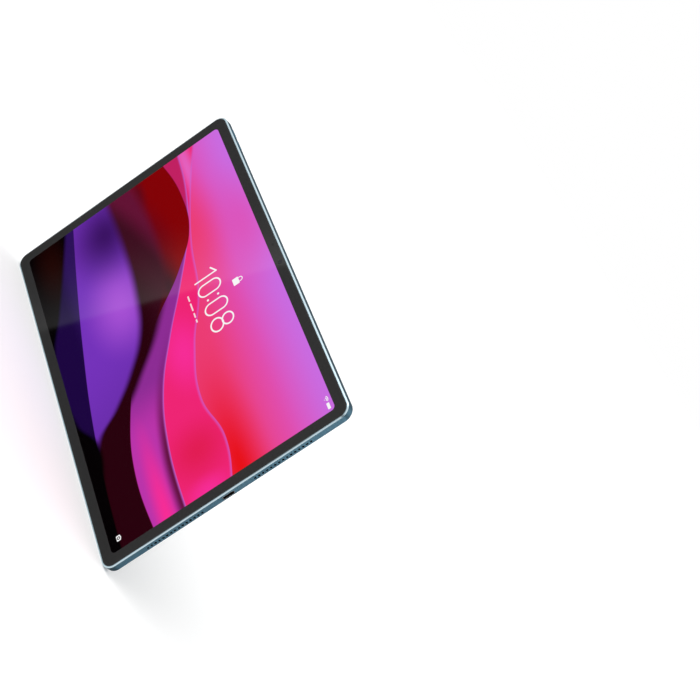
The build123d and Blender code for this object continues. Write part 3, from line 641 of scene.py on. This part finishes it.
def strip_glass():
    """Glass over a pearly teal paint: the paint's flakes shine softly and the glass over it is sharp"""
    made, net = material("strip_glass")
    place = net.place()
    flakes = net.cells(place, 0.16)
    cloud = net.noise(place, 70.0, 1.0)
    share = net.smooth(flakes * 0.4 + cloud * 0.6, 0.25, 0.62)
    tone = net.mix(srgb(70, 112, 130), srgb(84, 128, 146), share)
    net.surface(
        Base_Color=tone,
        Metallic=0.85,
        Roughness=flakes * 0.10 + 0.20,
        Normal=net.bump(flakes, 0.004),
        Coat_Weight=1.0,
        Coat_Roughness=0.02,
        Coat_IOR=1.52,
    )
    return made


def polished_ring():
    """Turned and polished: faint grooves run round each ring"""
    made, net = material("polished_ring")
    x, _, z = net.split(net.place())
    out = None
    for centre in (MACRO_CAMERA, MAIN_CAMERA, FLASH):
        span = net.length(x - centre.x / MM, z - centre.z / MM)
        out = span if out is None else net.least(out, span)
    grooves = net.wave(out, GROOVE_PITCH) * 0.5 + 0.5
    wear = net.noise(net.place(), 1.2, 3.0)
    net.surface(
        Base_Color=net.mix(srgb(205, 214, 220), srgb(232, 238, 242), wear),
        Metallic=1.0,
        Roughness=wear * 0.08 + 0.10,
        Normal=net.bump(grooves, 0.002),
    )
    return made


def lens_window():
    """Clear, coated glass that shows the lens behind it"""
    made, net = material("lens_window")
    dust = net.noise(net.place(), 1.6, 4.0, 0.7)
    net.surface(
        Base_Color=net.mix(srgb(196, 190, 200), srgb(236, 232, 238), dust),
        Roughness=dust * 0.015,
        IOR=1.5,
        Transmission_Weight=1.0,
        Coat_Weight=0.25,
        Coat_Tint=srgb(180, 150, 220),
    )
    return made


def coated_lens():
    """Dark glass with the brown and violet bloom of its coatings"""
    made, net = material("coated_lens")
    x, _, z = net.split(net.place())
    spans = [net.length(x - at.x / MM, z - at.z / MM) for at in (MACRO_CAMERA, MAIN_CAMERA)]
    out = net.least(*spans)
    bloom = net.mix(srgb(92, 66, 62), srgb(44, 30, 40), net.smooth(out, 0.3, 1.1))
    bloom = net.mix(bloom, srgb(12, 10, 14), net.smooth(out, 1.0, 1.8))
    faint = net.noise(net.place(), 0.8, 2.0)
    net.surface(
        Base_Color=bloom,
        Metallic=0.35,
        Roughness=faint * 0.03 + 0.03,
        IOR=1.7,
        Coat_Weight=1.0,
        Coat_Roughness=0.01,
        Coat_Tint=srgb(235, 190, 170),
    )
    return made


def flash_diffuser():
    """A milky disc over the emitters, with an amber edge where the phosphor shows, and a faint glow
    painted in its middle
    """
    made, net = material("flash_diffuser")
    x, _, z = net.split(net.place())
    out = net.length(x - FLASH.x / MM, z - FLASH.z / MM)
    rings = net.wave(out, FLASH_RING_PITCH) * 0.5 + 0.5
    tone = net.mix(srgb(252, 250, 242), srgb(184, 120, 60), net.smooth(out, 1.62, 1.90))
    net.surface(
        Base_Color=tone,
        Roughness=0.22,
        Normal=net.bump(rings * net.smooth(out, 1.70, 1.55), 0.02),
        # The faint glow in the disc's middle is painted light, not the flash firing
        Emission_Color=net.mix(grey(0.35), UNLIT, net.smooth(out, 1.45, 1.75)),
        Emission_Strength=1.0,
        Coat_Weight=0.6,
        Coat_Roughness=0.05,
    )
    return made


# ---------------------------------------------------------------- inner materials with their own patterns

MESH_PITCH = 0.18
PIXEL_PITCH = 0.093
# The battery's black field, mirrored to both cells: its middle, half width, half height and corner
BATTERY_FIELD = ((56.5, -3.0), 44.0, 34.0, 2.0)


def dust_mesh():
    """Black woven mesh, fine enough to keep dust out of the speakers"""
    made, net = material("dust_mesh")
    _, y, z = net.split(net.place())
    warp = net.wave(y, MESH_PITCH)
    weft = net.wave(z, MESH_PITCH)
    strands = net.most(abs(warp), abs(weft))
    net.surface(
        Base_Color=net.mix(grey(0.004), grey(0.045), net.smooth(strands, 0.35, 0.95)),
        Roughness=0.6,
        Normal=net.bump(warp * weft, 0.03),
    )
    return made


def circuit_board():
    """Solder mask over fine copper traces and their pads"""
    made, net = material("circuit_board")
    place = net.place()
    x, _, z = net.split(place)
    route = net.noise(net.place((0.30, 1.0, 0.02)), 0.7, 1.0)
    trace = net.smooth(abs(net.math("SINE", (x + route * 3.0) * 5.0)), 0.72, 0.90)
    pads = net.smooth(net.cells(place, 2.4), 0.20, 0.14)
    mask = net.mix(srgb(16, 44, 54), srgb(26, 66, 76), trace)
    net.surface(
        Base_Color=net.mix(mask, srgb(206, 170, 96), pads),
        Metallic=pads,
        Roughness=net.noise(place, 0.4, 2.0) * 0.15 + 0.32,
        Normal=net.bump(net.most(trace * 0.6, pads), 0.03),
    )
    return made


def battery_pouch():
    """Laminated foil with soft wrinkles, and a blank black field where a label would be"""
    made, net = material("battery_pouch")
    place = net.place()
    x, _, z = net.split(place)
    wrinkle = net.noise(place, 7.0, 3.0, 0.55)
    fine = net.noise(place, 0.5, 2.0)
    field = net.smooth(panel(net, abs(x), z - MIDDLE, *BATTERY_FIELD), 0.1, -0.1)
    net.surface(
        Base_Color=net.mix(srgb(118, 119, 122), srgb(20, 20, 22), field),
        Metallic=1.0 - field,
        Roughness=fine * 0.12 + 0.36,
        Normal=net.bump(wrinkle * 0.9 + fine * 0.1, 0.35),
    )
    return made


def flex_cable():
    """Amber film over copper runs"""
    made, net = material("flex_cable")
    place = net.place()
    x, _, z = net.split(place)
    runs = net.smooth(abs(net.math("SINE", (x + z) * 7.0)), 0.45, 0.75)
    fine = net.noise(place, 0.3, 2.0)
    net.surface(
        Base_Color=net.mix(srgb(112, 66, 22), srgb(178, 112, 48), runs * 0.8 + fine * 0.2),
        Metallic=runs * 0.3,
        Roughness=fine * 0.15 + 0.30,
        Normal=net.bump(runs, 0.02),
    )
    return made


def light_guide():
    """White reflecting plate with its grid of light-spreading dots"""
    made, net = material("light_guide")
    place = net.place()
    dots = net.smooth(net.cells(place, 0.9), 0.30, 0.22)
    net.surface(
        Base_Color=net.mix(srgb(226, 228, 230), srgb(246, 246, 244), dots),
        Roughness=net.noise(place, 3.0, 2.0) * 0.10 + 0.40,
        Normal=net.bump(dots, 0.01),
    )
    return made


def panel_glass():
    """The dark display panel: black glass with the faint grid of its picture elements"""
    made, net = material("panel_glass")
    place = net.place()
    x, _, z = net.split(place)
    grid = net.most(net.wave(x, PIXEL_PITCH), net.wave(z, PIXEL_PITCH))
    net.surface(
        Base_Color=net.mix(grey(0.006), grey(0.016), net.smooth(grid, 0.6, 0.95)),
        Roughness=net.noise(place, 20.0, 2.0) * 0.05 + 0.12,
        IOR=1.5,
    )
    return made


SPECIAL_FINISHES = (
    anodised_housing, anodised_key, cover_glass, strip_glass, polished_ring, lens_window, coated_lens,
    flash_diffuser, dust_mesh, circuit_board, battery_pouch, flex_cable, light_guide, panel_glass,
)


def make_finishes():
    made = {name: plain_finish(name, *facts) for name, facts in PLAIN_FINISHES.items()}
    made.update({build.__name__: build() for build in SPECIAL_FINISHES})
    return made


def dress_nodes(finishes):
    """Gives each CAD node the finish that its material slot names"""
    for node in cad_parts.values():
        for index, old in enumerate(node.data.materials):
            node.data.materials[index] = finishes[old.name.split(".")[0]]


# ---------------------------------------------------------------- small pieces that CAD leaves out

TURN_STEPS = 96
# A lens baffle's steps, outermost first: radius, and depth behind the cover glass's front
MAIN_BAFFLE = ((1.98, 6.42), (1.98, 6.64), (1.84, 6.64), (1.84, 6.56),
               (1.67, 6.56), (1.67, 6.49), (1.50, 6.49), (1.50, 6.42))
MACRO_BAFFLE = ((1.58, 6.80), (1.58, 7.02), (1.44, 7.02), (1.44, 6.94),
                (1.30, 6.94), (1.30, 6.87), (1.16, 6.87), (1.16, 6.80))
# The socket's gold fingers, on each face of its tongue
PAD_COUNT = 12
PAD_PITCH = 0.5
PAD_WIDTH = 0.28
PAD_LONG = 3.2
PAD_INSET = 0.35
PAD_PROUD = 0.03
PAD_CORNER = 0.08
PAD_BEVEL = 0.02


def add_piece(name, shape, body, slot, finishes):
    """Turns a bmesh into a piece that rides on a body and has a record slot's finish"""
    bmesh.ops.recalc_face_normals(shape, faces=shape.faces)
    mesh = bpy.data.meshes.new(name)
    shape.to_mesh(mesh)
    shape.free()
    mesh.materials.append(finishes[slot])
    made = bpy.data.objects.new(name, mesh)
    bpy.context.scene.collection.objects.link(made)
    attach(made, body)


def turned(centre, profile):
    """A ring about an aperture's axis, from the closed profile of its cut"""
    shape = bmesh.new()
    cuts = []
    for step in range(TURN_STEPS):
        angle = 2 * math.pi * step / TURN_STEPS
        cut = []
        for radius, depth in profile:
            x = centre.x + radius * math.cos(angle) * MM
            z = centre.z + radius * math.sin(angle) * MM
            cut.append(shape.verts.new((x, (FRONT + depth) * MM, z)))
        cuts.append(cut)
    for step, cut in enumerate(cuts):
        after = cuts[(step + 1) % TURN_STEPS]
        for index in range(len(profile)):
            onward = (index + 1) % len(profile)
            shape.faces.new((cut[index], cut[onward], after[onward], after[index]))
    return shape


def pad_loop(shape, level, x0, x1, z0, z1):
    """The corners of a rectangle with its corners cut off, at one depth, from millimetres"""
    cut = PAD_CORNER
    outline = ((x0 + cut, z0), (x1 - cut, z0), (x1, z0 + cut), (x1, z1 - cut),
               (x1 - cut, z1), (x0 + cut, z1), (x0, z1 - cut), (x0, z0 + cut))
    return [shape.verts.new((x * MM, level * MM, z * MM)) for x, z in outline]


def contact_pads():
    """The gold fingers on both faces of the socket's tongue, each with a bevelled edge"""
    low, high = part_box("usb_tongue")
    x1 = high.x / MM - PAD_INSET
    x0 = x1 - PAD_LONG
    middle = (low.z + high.z) / 2 / MM
    shape = bmesh.new()
    for face, proud in ((low.y / MM, -PAD_PROUD), (high.y / MM, PAD_PROUD)):
        for index in range(PAD_COUNT):
            z = middle + (index - (PAD_COUNT - 1) / 2) * PAD_PITCH
            z0 = z - PAD_WIDTH / 2
            z1 = z + PAD_WIDTH / 2
            foot = pad_loop(shape, face, x0, x1, z0, z1)
            top = pad_loop(
                shape, face + proud, x0 + PAD_BEVEL, x1 - PAD_BEVEL, z0 + PAD_BEVEL, z1 - PAD_BEVEL
            )
            shape.faces.new(foot)
            shape.faces.new(top)
            for corner in range(len(foot)):
                onward = (corner + 1) % len(foot)
                shape.faces.new((foot[corner], foot[onward], top[onward], top[corner]))
    return shape


def add_small_pieces(finishes):
    """The stepped rings in front of the two lenses, and the socket's gold fingers"""
    main_baffle = turned(MAIN_CAMERA, MAIN_BAFFLE)
    macro_baffle = turned(MACRO_CAMERA, MACRO_BAFFLE)
    add_piece("main_lens_baffle", main_baffle, "focus_barrel", "black_moulding", finishes)
    add_piece("macro_lens_baffle", macro_baffle, "tablet", "black_moulding", finishes)
    add_piece("usb_contact_pads", contact_pads(), "tablet", "gold_contact", finishes)


# ---------------------------------------------------------------- the studio and the camera

CAMERA_AT = Vector((0.76047, -0.76730, 0.40354))
CAMERA_AIM = Vector((0.10487, -0.00453, 0.20263))
CAMERA_ROLL = math.radians(56.48)
CAMERA_LENS = 86.0
SENSOR = 36.0

FLOOR_REACH = 6.0
FLOOR_COLOUR = grey(0.86)
FLOOR_DIM = grey(0.85)
FLOOR_GLOW = 0.18
ROOM_WHITE = grey(1.0)


def make_camera():
    """Stands where the photographer stood, with the picture rolled as the photograph is"""
    data = bpy.data.cameras.new("camera")
    data.lens = CAMERA_LENS
    data.sensor_width = SENSOR
    camera = bpy.data.objects.new("camera", data)
    back = (CAMERA_AT - CAMERA_AIM).normalized()
    right = Vector((0.0, 0.0, 1.0)).cross(back).normalized()
    up = back.cross(right)
    level = Matrix((right, up, back)).transposed().to_4x4()
    camera.matrix_world = Matrix.Translation(CAMERA_AT) @ level @ Matrix.Rotation(CAMERA_ROLL, 4, "Z")
    bpy.context.scene.collection.objects.link(camera)
    bpy.context.scene.camera = camera


def make_floor():
    """A large pale floor. It is out of the reflections, which see the room's light instead."""
    mesh = bpy.data.meshes.new("floor")
    reach = FLOOR_REACH
    corners = [(-reach, -reach), (reach, -reach), (reach, reach), (-reach, reach)]
    mesh.from_pydata([(x, y, CAD_BOX[0].z) for x, y in corners], [], [(0, 1, 2, 3)])
    floor = bpy.data.objects.new("floor", mesh)
    made, net = material("floor_paper")
    fine = net.noise(net.place(), 2.0, 3.0)
    net.surface(
        Base_Color=net.mix(FLOOR_DIM, FLOOR_COLOUR, fine),
        Roughness=0.9,
        Specular_IOR_Level=0.1,
        Emission_Color=grey(1.0),
        Emission_Strength=FLOOR_GLOW,
    )
    mesh.materials.append(made)
    bpy.context.scene.collection.objects.link(floor)
    floor.visible_glossy = False


# The soft light all round: full in front, this much behind, and this much more from overhead
ROOM_FRONT = 0.75
ROOM_BEHIND = 0.21
ROOM_TURN = (0.30, -0.45)
ROOM_OVERHEAD = 0.25
ROOM_OVERHEAD_FROM = (0.25, 0.95)
# What matte surfaces get, from every side alike
ROOM_LIGHT = 0.78
# The two lights behind: full within a height of this level, and ended at another
BEHIND_BELOW = 0.10
BEHIND_FULL = 0.12
BEHIND_ENDS = 0.34
# A tall soft light behind, in degrees from straight behind towards the right
STRIPE_AT = 42.0
STRIPE_EDGE = 8.0
STRIPE_CORE = 0.5
STRIPE_TILT = 0.35
STRIPE_LIGHT = 2.7
# A hard-edged light panel beside it, whose edge the glass strip mirrors as a slanted line
BACK_PANEL_AT = 45.5
BACK_PANEL_BELOW = 0.17
BACK_PANEL_LEAN = 0.75
BACK_PANEL_SOFT = 0.004
BACK_PANEL_FADE = 9.0
BACK_PANEL_LIGHT = 1.9
# Dark cloths: the way to each, and the angles from it where the cloth starts and is full, in degrees
DARK_CLOTHS = (((-0.64, -0.74, -0.20), 28, 18), ((-0.64, -0.64, -0.42), 22, 14))
CLOTH_LIGHT = 0.006
# The light panel between the cloths: two points of its edge as the screen shows it, in millimetres
# from the screen's middle, how far its light reaches, how bright it is, and its share low down
GLARE_HEAD = (14.8, 93.0)
GLARE_FOOT = (-66.95, -92.3)
GLARE_SOFT = 0.002
GLARE_FADE = 0.045
GLARE_LIGHT = 0.54
GLARE_LOW = 0.60
GLARE_LOW_BELOW = (-0.34, -0.28)
# A dim cloth low in front, which keeps the glass from mirroring a bright room
LOW_CLOTH_REACH = (0.20, 0.12)
LOW_CLOTH_BELOW = 0.075
LOW_CLOTH_EDGE = (1.5, 0.85)
LOW_CLOTH_LIGHT = 0.12
# Lamps: the way to each and its strength. They are very large, so shadows are soft.
LAMPS = {"key_lamp": ((-0.45, -0.60, 1.0), 1.15), "back_lamp": ((0.55, 0.75, 1.0), 0.45)}
LAMP_SIZE = math.radians(55)


def on_screen(x, v):
    """A point of the screen's face, given in millimetres from its middle, in metres"""
    return Vector((x * MM, GLASS_LOW.y, (v + MIDDLE) * MM))


def glare_normal():
    """The screen mirrors the room's light panel. This is the side of the plane through the mirrored
    camera and the glare's edge on the screen, so that the panel ends where that edge shows."""
    mirrored = Vector((CAMERA_AT.x, 2 * GLASS_LOW.y - CAMERA_AT.y, CAMERA_AT.z))
    head = on_screen(*GLARE_HEAD) - mirrored
    foot = on_screen(*GLARE_FOOT) - mirrored
    normal = head.cross(foot).normalized()
    return normal if normal.x < 0 else -normal


def nearness(net, way, direction):
    """The cosine of the angle between the way looked and a direction"""
    unit = tuple(Vector(direction).normalized())
    made = net.node("VectorMath", {"operation": "DOT_PRODUCT"}, _0=way, _1=unit)
    return Term(net, made.outputs["Value"])


def open_room(net, across, depth, height):
    """The room without its cloths: bright in front, dimmer behind, with the two lights there"""
    room = net.smooth(depth, *ROOM_TURN) * ROOM_FRONT + ROOM_BEHIND
    room = room + net.smooth(height, *ROOM_OVERHEAD_FROM) * ROOM_OVERHEAD
    turn = net.math("ARCTAN2", across, depth)
    away = turn + height * STRIPE_TILT - math.radians(STRIPE_AT)
    stripe = net.smooth(abs(away), math.radians(STRIPE_EDGE), math.radians(STRIPE_CORE))
    past = turn - (height + BACK_PANEL_BELOW) * BACK_PANEL_LEAN - math.radians(BACK_PANEL_AT)
    back_panel = net.smooth(past, 0.0, BACK_PANEL_SOFT)
    back_panel = back_panel * net.smooth(past, math.radians(BACK_PANEL_FADE), 0.0)
    level = net.smooth(abs(height + BEHIND_BELOW), BEHIND_ENDS, BEHIND_FULL)
    return room + stripe * level * STRIPE_LIGHT + back_panel * level * BACK_PANEL_LIGHT


def mirrored_panel(net, way, height):
    """What the screen mirrors before the dark cloths: a panel with one hard edge, fading away from it"""
    side = nearness(net, way, glare_normal())
    fade = net.most(1.0 - side / GLARE_FADE, 0.0)
    glare = net.smooth(side, 0.0, GLARE_SOFT) * fade * fade * GLARE_LIGHT
    share = net.smooth(height, *GLARE_LOW_BELOW) * (1.0 - GLARE_LOW) + GLARE_LOW
    return glare * share + CLOTH_LIGHT


def mirrored_room(net, way):
    """The room as glossy surfaces see it"""
    across, depth, height = net.split(way)
    room = open_room(net, across, depth, height)
    glare = mirrored_panel(net, way, height)
    for direction, clear, full in DARK_CLOTHS:
        edge = (math.cos(math.radians(clear)), math.cos(math.radians(full)))
        cloth = net.smooth(nearness(net, way, direction), *edge)
        room = room * (1.0 - cloth) + cloth * glare
    reach = net.length(across / LOW_CLOTH_REACH[0], (height + LOW_CLOTH_BELOW) / LOW_CLOTH_REACH[1])
    low_cloth = net.smooth(reach, *LOW_CLOTH_EDGE) * net.smooth(depth, 0.0, -0.5)
    return room * (1.0 - low_cloth) + low_cloth * LOW_CLOTH_LIGHT


def make_room():
    """Even white to the camera. To the object it is a bright room in front and a dimmer one behind,
    with a dark cloth hung where the screen would mirror the room."""
    world = bpy.data.worlds.new("studio")
    world.use_nodes = True
    bpy.context.scene.world = world
    net = Net(world.node_tree)
    way = Term(net, net.node("TexCoord").outputs["Generated"])
    path = net.node("LightPath")
    seen = path.outputs["Is Camera Ray"]
    glossy = Term(net, path.outputs["Is Glossy Ray"])
    light = glossy * mirrored_room(net, way) + (1.0 - glossy) * ROOM_LIGHT
    shade = net.node("CombineColor", Red=light, Green=light, Blue=light)
    lit = net.node("Background", Color=Term(net, shade.outputs[0]))
    backdrop = net.node("Background", Color=ROOM_WHITE)
    blend = net.node("MixShader")
    net.tree.links.new(seen, blend.inputs[0])
    net.tree.links.new(lit.outputs[0], blend.inputs[1])
    net.tree.links.new(backdrop.outputs[0], blend.inputs[2])
    net.tree.links.new(blend.outputs[0], net.node("OutputWorld").inputs["Surface"])


def make_lamps():
    """Very far lamps, so the whole floor gets the same light"""
    for name, (direction, strength) in LAMPS.items():
        data = bpy.data.lights.new(name, "SUN")
        data.energy = strength
        data.angle = LAMP_SIZE
        lamp = bpy.data.objects.new(name, data)
        lamp.matrix_world = Vector(direction).to_track_quat("Z", "Y").to_matrix().to_4x4()
        bpy.context.scene.collection.objects.link(lamp)


def make_studio():
    make_floor()
    make_room()
    make_lamps()
    settings = bpy.context.scene.view_settings
    settings.view_transform = "Standard"
    settings.look = "None"


# ---------------------------------------------------------------- putting it together

finishes = make_finishes()
dress_nodes(finishes)
add_small_pieces(finishes)
make_camera()
make_studio()
